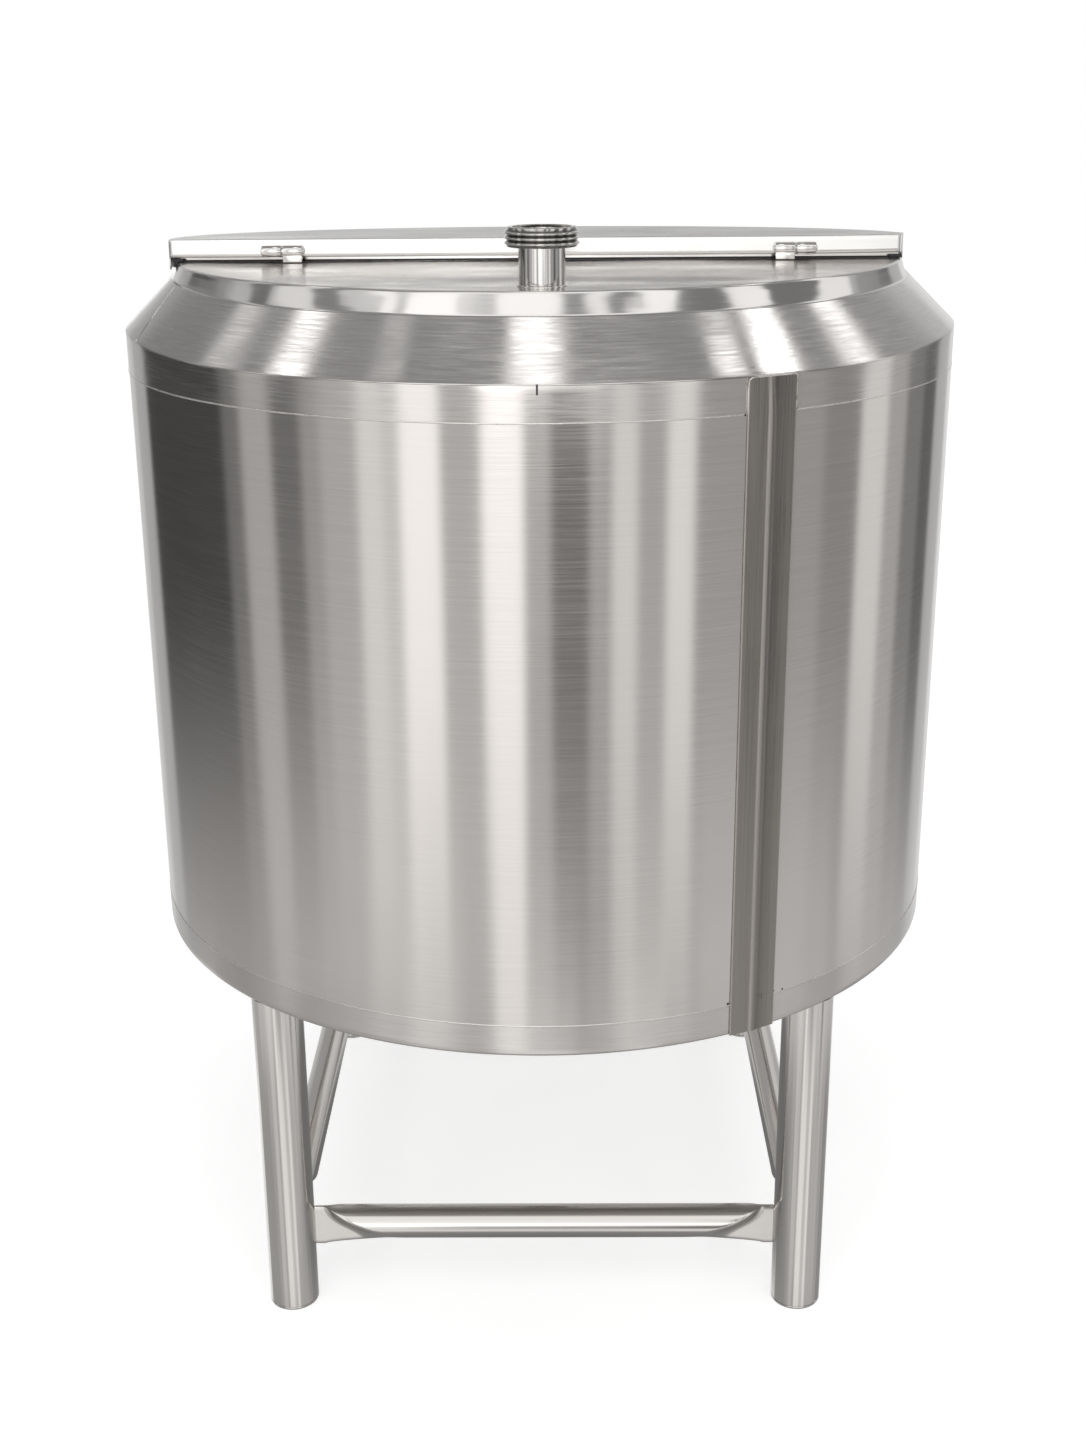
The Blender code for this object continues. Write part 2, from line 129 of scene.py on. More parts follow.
def steel(
    name, colour, roughness, grain, across,
    anisotropy=0.8, lines=0.04, smears=0.05, relief=0.02, shade=0.05, about=None,
):
    """Ground stainless steel. Grain gives how fast the scratches change along X, Y and Z, per metre, and
    relief their depth in millimetres. Lines, smears and shade are how far the roughness and the colour
    vary. Across is the direction over the scratches, or None for round the upright axis at about."""
    material, tree, shader = new_material(name)
    shader.inputs["Metallic"].default_value = 1.0
    shader.inputs["Anisotropic"].default_value = anisotropy
    spot = shader_node(tree, "ShaderNodeTexCoord", {}, "Object")
    stretched = shader_node(tree, "ShaderNodeMapping", {"Vector": spot, "Scale": grain})
    fine = {"Vector": stretched, "Scale": 1.0, "Detail": 4.0, "Roughness": 0.65}
    scratches = shader_node(tree, "ShaderNodeTexNoise", fine)
    clouds = shader_node(tree, "ShaderNodeTexNoise", {"Vector": spot, "Scale": 9.0, "Detail": 3.0})

    scratched = mapped(tree, scratches, 0.3, 0.7, roughness - lines, roughness + lines)
    hazy = mapped(tree, clouds, 0.35, 0.65, -smears / 2, smears / 2)
    tree.links.new(math_node(tree, "ADD", scratched, hazy), shader.inputs["Roughness"])
    dark, light = [(*[c * level for c in colour], 1.0) for level in (1.0 - shade, 1.0 + shade)]
    tones = {"Factor": scratches, "A": dark, "B": light}
    tree.links.new(shader_node(tree, "ShaderNodeMix", tones, data_type="RGBA"), shader.inputs["Base Color"])
    bump = shader_node(tree, "ShaderNodeBump", {"Height": scratches, "Distance": relief / 1000.0})
    tree.links.new(bump, shader.inputs["Normal"])

    if across is None:
        from_axis = vector_node(tree, "SUBTRACT", spot, (*about, 0.0))
        across = vector_node(tree, "CROSS_PRODUCT", (0.0, 0.0, 1.0), from_axis)
    spaces = {"vector_type": "VECTOR", "convert_from": "OBJECT", "convert_to": "WORLD"}
    tangent = shader_node(tree, "ShaderNodeVectorTransform", {"Vector": across}, **spaces)
    tree.links.new(tangent, shader.inputs["Tangent"])
    return material


legs_x, legs_y = 0.316, 0.346
leg_radius = 0.03015
leg_wall = 0.002
leg_sides = 96
foot_top = 0.004
foot_round = 0.0025
foot_gap = 0.0003
foot_edge = 0.0004
for leg_name, leg_x, leg_y in (
    ("front_left", -legs_x, -legs_y),
    ("front_right", legs_x, -legs_y),
    ("rear_left", -legs_x, legs_y),
    ("rear_right", legs_x, legs_y),
):
    leg_place = (leg_x, leg_y, 0.0)
    drawn_tube = steel(
        f"drawn_tube_{leg_name}", (0.70, 0.675, 0.65), 0.11, (420.0, 420.0, 5.0), None,
        anisotropy=0.3, lines=0.03, shade=0.10, about=(leg_x, leg_y),
    )
    leg_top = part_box(f"leg_{leg_name}")[1].z
    outline = [
        (leg_radius - leg_wall, leg_top),
        (leg_radius, leg_top),
        (leg_radius, foot_top + 2 * foot_edge),
        (leg_radius - foot_edge, foot_top + foot_gap),
        (leg_radius - leg_wall, foot_top + foot_gap),
    ]
    tube = turned(outline, leg_sides, leg_place)
    piece(f"leg_tube_{leg_name}", tube, drawn_tube, "tank", [f"leg_{leg_name}"])
    outline = [(0.0, 0.0), *rounded((leg_radius - foot_round, foot_round), foot_round, -90, 0)]
    outline += [(leg_radius, foot_top - foot_edge), (leg_radius - foot_edge, foot_top), (0.0, foot_top)]
    foot = turned(outline, leg_sides, leg_place, closed=False)
    piece(f"pressed_foot_{leg_name}", foot, drawn_tube, "tank", [f"foot_{leg_name}"])


# Rails: 41 mm tube between the legs. Towards both ends it is pressed flat, from below upwards, into an
# upright blade 5 mm thick, and each blade is welded down its two sides to the leg.
def part_way(value, start, end):
    """How far a value is on its way from start to end, from 0 to 1."""
    return min(1.0, max(0.0, (value - start) / (end - start)))


def eased(share):
    """The way from 0 to 1 with a gentle start and a gentle end."""
    return share * share * (3.0 - 2.0 * share)


def drawn_out(rings):
    """A bar drawn out from a round cap through rings of points, closed at both ends."""
    bm = bmesh.new()
    bmesh.ops.create_circle(bm, cap_ends=True, radius=1.0, segments=len(rings[0]))
    face = bm.faces[:][0]
    for number, ring in enumerate(rings):
        if number:
            raised = bmesh.ops.extrude_face_region(bm, geom=[face])["geom"]
            if number > 1:
                bmesh.ops.delete(bm, geom=[face], context="FACES_ONLY")
            face = [item for item in raised if isinstance(item, bmesh.types.BMFace)][0]
        for vert, point in zip(face.verts, ring):
            vert.co = point
    return bm


def pressed_tube(length):
    """A tube along X, round in the middle. Towards each end a flat grows up from below until it takes
    the whole height, in a blade that is taller than the tube and stands a little lower."""
    tube_radius, sides = 0.0205, 56
    blade_half_height, blade_half_thickness, blade_drop = 0.0265, 0.0025, 0.005
    blade_length, pressed_length, press_width = 0.012, 0.128, 0.018
    edge, steps, squareness = 0.0006, 30, 12
    half = length / 2
    stations = [(0.0, 1.0), (edge, 1.0), (blade_length, 1.0)]
    for i in range(1, steps + 1):
        part = i / steps
        stations.append((blade_length + part * (pressed_length - blade_length), 1.0 - part**0.62))
    places = [(s - half, squeezed) for s, squeezed in stations]
    places += [(half - s, squeezed) for s, squeezed in reversed(stations)]
    rings = []
    for number, (x, squeezed) in enumerate(places):
        rounding = edge if number in (0, len(places) - 1) else 0.0
        height = tube_radius + squeezed * (blade_half_height - tube_radius) - rounding
        depth = blade_half_thickness - rounding
        press_start = squeezed * (2 * tube_radius + press_width) - tube_radius - press_width
        ring = []
        for i in range(sides):
            y, z = math.cos(math.tau * i / sides), math.sin(math.tau * i / sides)
            reach = (abs(y) ** squareness + abs(z) ** squareness) ** (1 / squareness)
            flat = Vector((x, depth * y / reach, height * z / reach - blade_drop * squeezed))
            bulged = eased(part_way(tube_radius * z, press_start, press_start + press_width))
            ring.append(flat.lerp(Vector((x, tube_radius * y, tube_radius * z)), bulged))
        rings.append(ring)
    return drawn_out(rings)


def weld_line(path, radius, lumps=0.25):
    """A weld's bead along a path of points, a round bar with a slightly uneven thickness."""
    points = [Vector(point) for point in path]
    corners = [Vector((*point, 0.0)) for point in rounded((0.0, 0.0), 1.0, 0, 360, 8)[:-1]]
    rings = []
    for number, point in enumerate(points):
        ahead = points[min(number + 1, len(points) - 1)] - points[max(number - 1, 0)]
        turn = ahead.to_track_quat("Z", "Y")
        end = 0.35 if number in (0, len(points) - 1) else 1.0
        size = radius * end * (1.0 + lumps * noise.noise(point * 400.0))
        rings.append([point + turn @ (corner * size) for corner in corners])
    return drawn_out(rings)


def placed(bm, place, turn=0.0, axis="Z"):
    """Turns a mesh about one of its axes and moves it to its place."""
    bmesh.ops.rotate(bm, verts=bm.verts, matrix=Matrix.Rotation(turn, 3, axis))
    bmesh.ops.translate(bm, verts=bm.verts, vec=place)
    return bm


rail_height = 0.111
rail_gap = 0.0003
for rail_name, rail_x, rail_y, reach, turn in (
    ("front", 0.0, -legs_y, legs_x, 0.0),
    ("rear", 0.0, legs_y, legs_x, 0.0),
    ("left", -legs_x, 0.0, legs_y, math.pi / 2),
    ("right", legs_x, 0.0, legs_y, math.pi / 2),
):
    rail_place = (rail_x, rail_y, rail_height)
    across_tube = (0.7, 0.0, 0.7) if turn else (0.0, 0.7, 0.7)
    along = (420.0, 6.0, 420.0) if turn else (6.0, 420.0, 420.0)
    rail_tube = steel(
        f"rail_tube_{rail_name}", (0.66, 0.635, 0.61), 0.15, along, across_tube, anisotropy=0.35, lines=0.025
    )
    tube = placed(pressed_tube(2 * (reach - leg_radius - rail_gap)), rail_place, turn)
    piece(f"pressed_rail_{rail_name}", tube, rail_tube, "tank", [f"rail_{rail_name}"])
    for end_name, end in (("start", -1), ("end", 1)):
        for side_name, side in (("near", -1), ("far", 1)):
            x, y = end * (reach - leg_radius + 0.0002), side * 0.0026
            points = [(x, y, millimetres / 1000.0) for millimetres in range(-30, 21, 2)]
            weld = placed(weld_line(points, 0.0011), rail_place, turn)
            name = f"rail_weld_{rail_name}_{end_name}_{side_name}"
            piece(name, weld, rail_tube, "tank")


# Underside: a flat stainless plate that closes the jacket from below, with a hole for the outlet.
# The outlet drains the vessel's lowest point and ends in a dairy union, a turned and threaded ring.
band_colour = (0.66, 0.632, 0.61)
jacket_radius = 0.4996
brushed_plate = steel(
    "brushed_plate", band_colour, 0.33, (6.0, 500.0, 500.0), (0.0, 1.0, 0.0), anisotropy=0.5
)
low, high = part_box("underside_plate")
plate_edge = high.x - 0.0004
tube_hole = 0.02445
outline = [(tube_hole, high.z), (tube_hole, low.z + 0.0002), (tube_hole + 0.0004, low.z)]
outline += [(plate_edge - 0.0004, low.z), (plate_edge, low.z + 0.0002), (plate_edge, high.z)]
piece("jacket_underside", turned(outline, 256), brushed_plate, "tank", ["underside_plate"])


def union_pipe(cad_node, place):
    """The plain tube of a union, as high as its CAD node."""
    low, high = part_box(cad_node)
    bore, outside = 0.02265, 0.02415
    return turned([(outside, low.z), (outside, high.z), (bore, high.z), (bore, low.z)], 128, place)


def threaded_ring(top, down, place):
    """A union's ring: three round threads outside, a seal recess in its flat face and a lip on the bore."""
    root, crest, bore, tube_outside = 0.0358, 0.0384, 0.02265, 0.02445
    recess, recess_depth, lip, ring_height = 0.0300, 0.0035, 0.0055, 0.0196
    first_thread, pitch, threads, steps = 0.0030, 0.0051, 3, 14
    edge, fine_edge = 0.0004, 0.0003
    outline = [(bore, lip), (bore, recess_depth + fine_edge), (bore + fine_edge, recess_depth)]
    outline += [(recess, recess_depth), (recess, edge), (recess + edge, 0.0)]
    outline += [(root - 0.0010, 0.0), (root - edge, edge)]
    for i in range(threads * steps + 1):
        wave = 0.5 - 0.5 * math.cos(math.tau * i / steps)
        outline.append((root + (crest - root) * wave**0.8, first_thread + i * pitch / steps))
    outline += [(root, ring_height - edge), (root - edge, ring_height), (tube_outside, ring_height)]
    outline += [(tube_outside, lip)]
    return turned([(radius, top - down * depth) for radius, depth in outline], 128, place)


def ring_weld(radius, height, size, segments, place=(0.0, 0.0, 0.0), steps=10):
    """A weld's bead that runs once round an upright axis."""
    return turned(rounded((radius, height), size, 0, 360, steps)[:-1], segments, place)


def ramp(tree, share, stops):
    """Turns a share from 0 to 1 into a colour. Each stop is a share and its level of grey, or colour."""
    made = tree.nodes.new("ShaderNodeValToRGB")
    tree.links.new(share, made.inputs["Fac"])
    marks = made.color_ramp.elements
    for place, _ in stops[1:-1]:
        marks.new(place)
    for mark, (_, tone) in zip(marks, stops):
        mark.color = (*tone, 1.0) if isinstance(tone, tuple) else (tone, tone, tone, 1.0)
    return made.outputs["Color"]


def toned(material, share, levels):
    """Makes a finish darker or lighter by the levels that its share passes."""
    tree = material.node_tree
    colour = tree.nodes["Principled BSDF"].inputs["Base Color"]
    both = {"Factor": 1.0, "A": colour.links[0].from_socket, "B": ramp(tree, share, levels)}
    product = shader_node(tree, "ShaderNodeMix", both, data_type="RGBA", blend_type="MULTIPLY")
    tree.links.new(product, colour)


def union_finish(name):
    """Turned and polished steel with faint tool marks round it."""
    return steel(
        name, (0.68, 0.66, 0.64), 0.08, (30.0, 30.0, 1500.0), (0.0, 0.0, 1.0),
        anisotropy=0.4, lines=0.02, relief=0.01,
    )


def thread_finish(name, place):
    """The union's turned steel, with painted shade darkening the bottom of its threads."""
    material = union_finish(name)
    tree = material.node_tree
    spot = shader_node(tree, "ShaderNodeTexCoord", {}, "Object")
    from_axis = vector_node(tree, "SUBTRACT", spot, place)
    radius = vector_node(tree, "LENGTH", vector_node(tree, "MULTIPLY", from_axis, (1.0, 1.0, 0.0)))
    below_root, crest = 0.0346, 0.0384
    # Painted shade: the colour darkens towards the thread roots, where the flanks shade each other.
    painted_thread_shade = ((0.0, 1.0), (0.20, 1.0), (0.32, 0.26), (0.52, 0.30), (0.72, 0.90), (1.0, 1.0))
    toned(material, mapped(tree, radius, below_root, crest), painted_thread_shade)
    return material


outlet_place = (0.0, 0.0, 0.0)
outlet_finish = union_finish("turned_outlet")
outlet_thread = thread_finish("threaded_outlet", outlet_place)
tube = union_pipe("outlet_tube", outlet_place)
piece("outlet_pipe", tube, outlet_finish, "tank", ["outlet_tube"])
ring = threaded_ring(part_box("outlet_collar")[0].z, -1, outlet_place)
piece("outlet_threaded_ring", ring, outlet_thread, "tank", ["outlet_collar"])
weld = ring_weld(0.0242, 0.4288, 0.0016, 96)
piece("outlet_weld", weld, outlet_finish, "tank")


# Inner vessel: a 3 mm wall rolled from sheet, bright inside, and a bottom that falls to the outlet.
# The corner between the two is welded from inside and ground to a small radius.
vessel_finish = steel(
    "vessel_inside", (0.64, 0.615, 0.59), 0.26, (4.0, 4.0, 380.0), (0.0, 0.0, 1.0), anisotropy=0.6, lines=0.03
)
vessel_sheet = 0.003
low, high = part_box("inner_wall")
vessel_radius = high.x - vessel_sheet
outline = [(high.x, low.z), (high.x, high.z), (vessel_radius, high.z)]
outline += [(vessel_radius, high.z - (high.z - low.z - 0.01) * i / 12) for i in range(1, 13)]
outline += [(vessel_radius, low.z)]
piece("vessel_wall", turned(outline, 256), vessel_finish, "tank", ["inner_wall"])
low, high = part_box("inner_bottom")
bottom_edge = vessel_radius - 0.0003
drain_hole = 0.0245
outline = [(bottom_edge, high.z - vessel_sheet), (drain_hole, low.z)]
outline += [(drain_hole, low.z + vessel_sheet), (bottom_edge, high.z)]
piece("vessel_bottom", turned(outline, 256), vessel_finish, "tank", ["inner_bottom"])
weld = ring_weld(vessel_radius + 0.0002, high.z, 0.0022, 192)
piece("vessel_corner_weld", weld, vessel_finish, "tank")


# Jacket: 2 mm sheet rolled to a metre across and brushed round the body, with a narrow band welded on
# at the top and another at the bottom. The rolled sheet isn't quite even, so what it mirrors wanders.
def off_axis(point):
    """The level direction from the tank's axis to a point."""
    return Vector((point.x, point.y, 0.0)).normalized()


def uneven(bm, amount, size, direction=None):
    """Moves the vertices by smooth noise: along a direction, or in and out from the upright axis."""
    for vert in bm.verts:
        shift = amount * noise.noise(vert.co * Vector(size))
        vert.co += (direction or off_axis(vert.co)) * shift
    return bm


def rolled_sheet(bottom, top, thickness, rows, top_round=0.0, bottom_round=0.0):
    """The outline of a rolled sheet: its outer face in rows, its edges rounded, and its inner face."""
    outline = [(jacket_radius - thickness, bottom)]
    if bottom_round:
        outline += rounded((jacket_radius - bottom_round, bottom + bottom_round), bottom_round, -80, 0)
    else:
        outline.append((jacket_radius, bottom))
    start, end = bottom + bottom_round, top - top_round
    outline += [(jacket_radius, start + (end - start) * i / rows) for i in range(1, rows)]
    if top_round:
        outline += rounded((jacket_radius - top_round, top - top_round), top_round, 0, 80)
    else:
        outline.append((jacket_radius, top))
    outline.append((jacket_radius - thickness, top))
    return outline


jacket_finish = steel(
    "brushed_jacket", (0.66, 0.63, 0.606), 0.13, (8.0, 8.0, 640.0), (0.0, 0.0, 1.0),
    anisotropy=0.9, lines=0.03, smears=0.02, relief=0.006, shade=0.085,
)
band_finish = steel(
    "brushed_band", band_colour, 0.19, (16.0, 16.0, 520.0), (0.0, 0.0, 1.0),
    anisotropy=0.85, lines=0.05, smears=0.08, relief=0.016, shade=0.14,
)
weld_finish = steel(
    "ground_weld", (0.80, 0.765, 0.735), 0.30, (70.0, 70.0, 70.0), (0.0, 0.0, 1.0),
    anisotropy=0.0, lines=0.10, relief=0.05, shade=0.22,
)


def side_rise(spot, left, right):
    """How far an edge stands higher at the tank's two sides than at its front and back."""
    degrees = math.degrees(math.atan2(abs(spot[0]), -spot[1]))
    share = part_way(degrees, 38.0, 78.0) * part_way(degrees, 150.0, 110.0)
    return (left if spot[0] < 0 else right) * eased(share)


jacket_sheet = 0.0016
crease_rise = 0.0078
low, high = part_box("outer_shell")
shell = turned(rolled_sheet(low.z, high.z, jacket_sheet, 44), 360)
uneven(shell, 0.00012, (7.0, 7.0, 2.0))
piece("jacket_sheet", shell, jacket_finish, "tank", ["outer_shell"])
low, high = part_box("upper_band")
upper_edge = low.z
crease_height = high.z - 0.0025
band = turned(rolled_sheet(low.z, crease_height, jacket_sheet, 6, top_round=0.0008), 360)
uneven(band, 0.00012, (9.0, 9.0, 9.0))
for vert in band.verts:
    climb = max(0.0, vert.co.z - low.z) / (crease_height - low.z)
    vert.co.z += side_rise(vert.co, crease_rise, crease_rise) * climb
piece("jacket_upper_band", band, band_finish, "tank", ["upper_band"])
low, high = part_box("lower_band")
lower_edge = high.z
band = turned(rolled_sheet(low.z, high.z, jacket_sheet, 6, bottom_round=0.003), 360)
uneven(band, 0.00012, (9.0, 9.0, 9.0))
piece("jacket_lower_band", band, band_finish, "tank", ["lower_band"])
for name, height in (("upper", upper_edge), ("lower", lower_edge)):
    bead = turned(rounded((jacket_radius - 0.0006, height), 0.0011, -90, 90, 8), 720)
    for vert in bead.verts:
        lump = vert.co * 45.0
        vert.co.z += 0.0003 * noise.noise(lump)
        vert.co -= off_axis(vert.co) * 0.00015 * (1.0 + noise.noise(lump * 3.0))
    piece(f"jacket_{name}_weld", bead, weld_finish, "tank")


# Seam strip: a thin sheet welded over the jacket's upright joint, brushed upright, with a pressed ridge
# down its middle that runs out near the top. A blind rivet holds its foot, and the welds end in small pits.
strip_angle = math.radians(28.5)
strip_half = 0.0295
strip_face = 0.5018
strip_back = 0.4999
strip_corner = 0.005
strip_edge = 0.0012
ridge_half = 0.0050
ridge_height = 0.0014
ridge_fades = (1.118, 1.168)
strip_across = Vector((math.cos(strip_angle), math.sin(strip_angle), 0.0))
strip_out = Vector((math.sin(strip_angle), -math.cos(strip_angle), 0.0))


def strip_point(across, height):
    """A point on the strip's face, across metres from its middle line."""
    taper = part_way(height, *ridge_fades)
    middle = -0.0035 * taper * taper
    half = ridge_half - 0.0014 * taper
    from_edge = strip_half - abs(across)
    face = strip_face - 0.00022 * math.sin(math.pi * min(1.0, from_edge / (strip_half - ridge_half)))
    if from_edge < strip_edge:
        face -= 0.0011 * (1.0 - math.sqrt(max(0.0, 1.0 - (1.0 - from_edge / strip_edge) ** 2)))
    offset = abs(across - middle) / half
    if offset < 1.0:
        face += ridge_height * (1.0 - 0.3 * taper) * math.cos(math.pi / 2 * offset)
    face += 0.00012 * noise.noise(Vector((across * 90.0, 3.0, height * 7.0)))
    angle = strip_angle + across / 0.5
    return Vector((face * math.sin(angle), -face * math.cos(angle), height))


strip_finish = steel(
    "brushed_strip", (0.37, 0.345, 0.32), 0.30, (420.0, 420.0, 4.0), strip_across,
    anisotropy=0.75, lines=0.07, shade=0.14,
)
strip_tree = strip_finish.node_tree
strip_spot = shader_node(strip_tree, "ShaderNodeTexCoord", {}, "Object")
from_middle = vector_node(strip_tree, "DOT_PRODUCT", strip_spot, strip_across)
# Painted light across the strip: painted highlights along both edges and on the ridge's left flank, and
# painted shade right of the ridge.
painted_strip_light = ((0.0, 1.35), (0.03, 0.98), (0.39, 0.90), (0.43, 1.32), (0.47, 0.95))
painted_strip_light += ((0.58, 0.62), (0.72, 0.80), (0.96, 0.98), (1.0, 1.15))
toned(strip_finish, mapped(strip_tree, from_middle, -strip_half, strip_half), painted_strip_light)
low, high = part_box("seam_strip")
strip = bmesh.new()
bmesh.ops.create_grid(strip, x_segments=84, y_segments=90, size=0.5)
for vert in strip.verts:
    u, v = vert.co.x * 2.0, vert.co.y + 0.5
    across = math.copysign(1.0 - (1.0 - abs(u)) ** 1.15, u) * strip_half
    past = max(0.0, abs(across) - (strip_half - strip_corner))
    drop = strip_corner - math.sqrt(max(0.0, strip_corner**2 - past**2))
    height = low.z + v * (crease_height - drop - low.z)
    vert.co = strip_point(across, height)
bmesh.ops.recalc_face_normals(strip, faces=strip.faces)
if sum(face.normal.dot(strip_out) for face in strip.faces) < 0:
    bmesh.ops.reverse_faces(strip, faces=strip.faces)
back = bmesh.ops.extrude_face_region(strip, geom=strip.faces[:])["geom"]
for vert in [item for item in back if isinstance(item, bmesh.types.BMVert)]:
    vert.co = off_axis(vert.co) * strip_back + Vector((0.0, 0.0, vert.co.z))
piece("jacket_seam_strip", strip, strip_finish, "tank", ["seam_strip"], crease=50)
weld_heights = [1.1325 + i * 0.0045 for i in range(8)]
path = [strip_point(-strip_half, height) for height in weld_heights]
path += [strip_point(-strip_half + 0.0008, 1.1668), strip_point(-strip_half + 0.0030, 1.1688)]
path += [strip_point(-strip_half + 0.0030 + i * 0.0053, 1.1692) for i in range(1, 11)]
path += [strip_point(strip_half - 0.0008, 1.1676)]
path += [strip_point(strip_half, height) for height in reversed(weld_heights)]
strip_weld = weld_line([point + strip_out * 0.0002 for point in path], 0.0008, 0.5)
piece("strip_end_weld", strip_weld, weld_finish, "tank")


def speckled(name, roughness, grain, dark, light, relief=0.0):
    """A dull finish, not a metal, in fine specks between two colours. Relief is their depth in metres."""
    material, tree, shader = new_material(name)
    shader.inputs["Roughness"].default_value = roughness
    spot = shader_node(tree, "ShaderNodeTexCoord", {}, "Object")
    specks = shader_node(tree, "ShaderNodeTexNoise", {"Vector": spot, "Scale": grain})
    tree.links.new(ramp(tree, specks, ((0.0, dark), (1.0, light))), shader.inputs["Base Color"])
    if relief:
        bump = shader_node(tree, "ShaderNodeBump", {"Height": specks, "Distance": relief})
        tree.links.new(bump, shader.inputs["Normal"])
    return material


def on_jacket(bm, verts, degrees, radius, height):
    """Stands what faces along X at the origin on the jacket, so many degrees right of the front."""
    bmesh.ops.translate(bm, verts=verts, vec=(radius, 0.0, height))
    angle = math.radians(degrees) - math.pi / 2
    bmesh.ops.rotate(bm, verts=verts, matrix=Matrix.Rotation(angle, 3, "Z"))


def add_pit(bm, size, flatness, degrees, radius, height):
    """Adds a small ball, pressed flat, to stand half sunk in a face of the jacket."""
    ball = bmesh.ops.create_icosphere(bm, subdivisions=2, radius=size)["verts"]
    bmesh.ops.scale(bm, vec=(flatness, 1.0, 1.0), verts=ball)
    on_jacket(bm, ball, degrees, radius, height)


dark_pit = speckled("oxide_in_pits", 0.7, 900.0, (0.012, 0.011, 0.010), (0.06, 0.055, 0.05))
pits = bmesh.new()
for degrees, height, size in (
    (24.85, 0.4690, 0.0016),
    (31.95, 0.4700, 0.0014),
    (33.45, 0.4685, 0.0012),
    (24.85, 1.1318, 0.0013),
    (32.05, 1.1333, 0.0013),
):
    add_pit(pits, size, 0.35, degrees, 0.4997, height)
piece("weld_end_pits", pits, dark_pit, "tank")
rivet_degrees = 29.75
rivet_height = 0.4698
outline = [(0.0, 0.0004), (0.0010, 0.0006), (0.0019, 0.0009), (0.0024, 0.0005), (0.0025, -0.0006)]
rivet = placed(turned([*outline, (0.0, -0.0006)], 32, closed=False), (0.0, 0.0, 0.0), math.pi / 2, "Y")
on_jacket(rivet, rivet.verts, rivet_degrees, 0.5019, rivet_height)
piece("strip_rivet", rivet, strip_finish, "tank")
rivet_hole = bmesh.new()
add_pit(rivet_hole, 0.0011, 0.3, rivet_degrees, 0.5024, rivet_height)
piece("strip_rivet_hole", rivet_hole, dark_pit, "tank")


# Tick mark: a short upright stroke of black marking ink on the top of the upper band, at the tank's
# front. Such a mark shows the middle line to whoever fits the cover.
def bar(low, high, edge, segments=3):
    """A straight bar between two corners, with its edges rounded."""
    bm = bmesh.new()
    bmesh.ops.create_cube(bm, size=1.0)
    bmesh.ops.scale(bm, vec=Vector(high) - Vector(low), verts=bm.verts)
    bmesh.ops.translate(bm, vec=(Vector(high) + Vector(low)) / 2, verts=bm.verts)
    bmesh.ops.bevel(
        bm, geom=bm.edges[:], offset=edge, offset_type="OFFSET", affect="EDGES",
        segments=segments, profile=0.5, material=-1,
    )
    return bm


ink = speckled("marking_ink", 0.55, 1500.0, (0.02, 0.02, 0.022), (0.10, 0.10, 0.10))
tick_half = Vector((0.00105, 0.0002, 0.00525))
tick_middle = Vector((0.0012, -jacket_radius, 1.1655))
tick = bar(tick_middle - tick_half, tick_middle + tick_half, 0.0001, segments=1)
piece("centre_tick_mark", tick, ink, "tank")


# Shoulder: a shallow cone of the jacket's sheet, welded between the upper band and the neck and brushed
# round. It has one radial joint at the left, a low ground weld that isn't quite straight.
shoulder_finish = steel(
    "brushed_shoulder", (0.69, 0.668, 0.65), 0.20, (22.0, 22.0, 560.0), (0.0, 0.0, 1.0),
    anisotropy=0.85, lines=0.06, smears=0.09, relief=0.022, shade=0.15,
)
neck_foot = Vector((0.4433, 1.2285))
neck_rise = (0.0072, 0.0046)
rim_height = 1.2525


def shoulder_rise(spot, height):
    """The rise at a height between the crease and the neck's foot."""
    share = part_way(height, crease_height, neck_foot.y)
    return side_rise(spot, crease_rise, crease_rise) * (1.0 - share) + side_rise(spot, *neck_rise) * share


slope = [Vector(point) for point in rounded((0.4978, crease_height), 0.0020, 4, 44, 5)]
slope += [slope[-1].lerp(neck_foot, i / 18) for i in range(1, 19)]
inner_edge = [(neck_foot.x - 0.0014, neck_foot.y - 0.0015), (slope[0].x - 0.0020, slope[0].y)]
cone = turned(slope + inner_edge, 360)
for vert in cone.verts:
    low_on_it = part_way(vert.co.z, 1.1720, 1.1820)
    near_neck = part_way(vert.co.z, neck_foot.y + 0.0002, neck_foot.y - 0.0098)
    wave = noise.noise(Vector((vert.co.x * 11.0, vert.co.y * 11.0, 4.7)))
    vert.co.z += shoulder_rise(vert.co, vert.co.z) + 0.0004 * low_on_it * near_neck * wave
piece("shoulder_sheet", cone, shoulder_finish, "tank", ["shoulder_cone"])
seam = []
for point in slope:
    part = (point.y - slope[0].y) / (neck_foot.y - slope[0].y)
    angle = math.radians(-65.2 - 3.6 * part - 0.5 * math.sin(math.pi * part))
    radius, height = point - Vector((0.0002, 0.0002))
    spot = (radius * math.sin(angle), -radius * math.cos(angle))
    seam.append((*spot, height + shoulder_rise(spot, height)))
piece("shoulder_seam_weld", weld_line(seam, 0.0010), shoulder_finish, "tank")


# Neck: a ring of 2 mm sheet that carries the covers. Its foot is swept out and ground into the shoulder,
# and the heat of its welds has drawn the sheet into low waves.
neck_finish = steel(
    "bright_neck", (0.72, 0.70, 0.685), 0.13, (6.0, 6.0, 900.0), (0.0, 0.0, 1.0),
    anisotropy=0.6, lines=0.03, relief=0.004, shade=0.02,
)
low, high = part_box("neck_ring")
wall_foot, wall_head = Vector((0.4401, 1.2296)), Vector((0.4339, 1.2515))
outline = [(0.4431, 1.2283), (0.4417, 1.2285), (0.4407, 1.2289)]
outline += [wall_foot.lerp(wall_head, i / 16) for i in range(17)]
outline += rounded((0.4325, high.z - 0.0010), 0.0010, 0, 180, 6)[1:]
outline += [(0.4315, 1.2500), (0.4345, 1.2400), (0.4358, 1.2360), (0.4380, 1.2290), (0.4412, 1.2268)]
neck = turned(outline, 360)
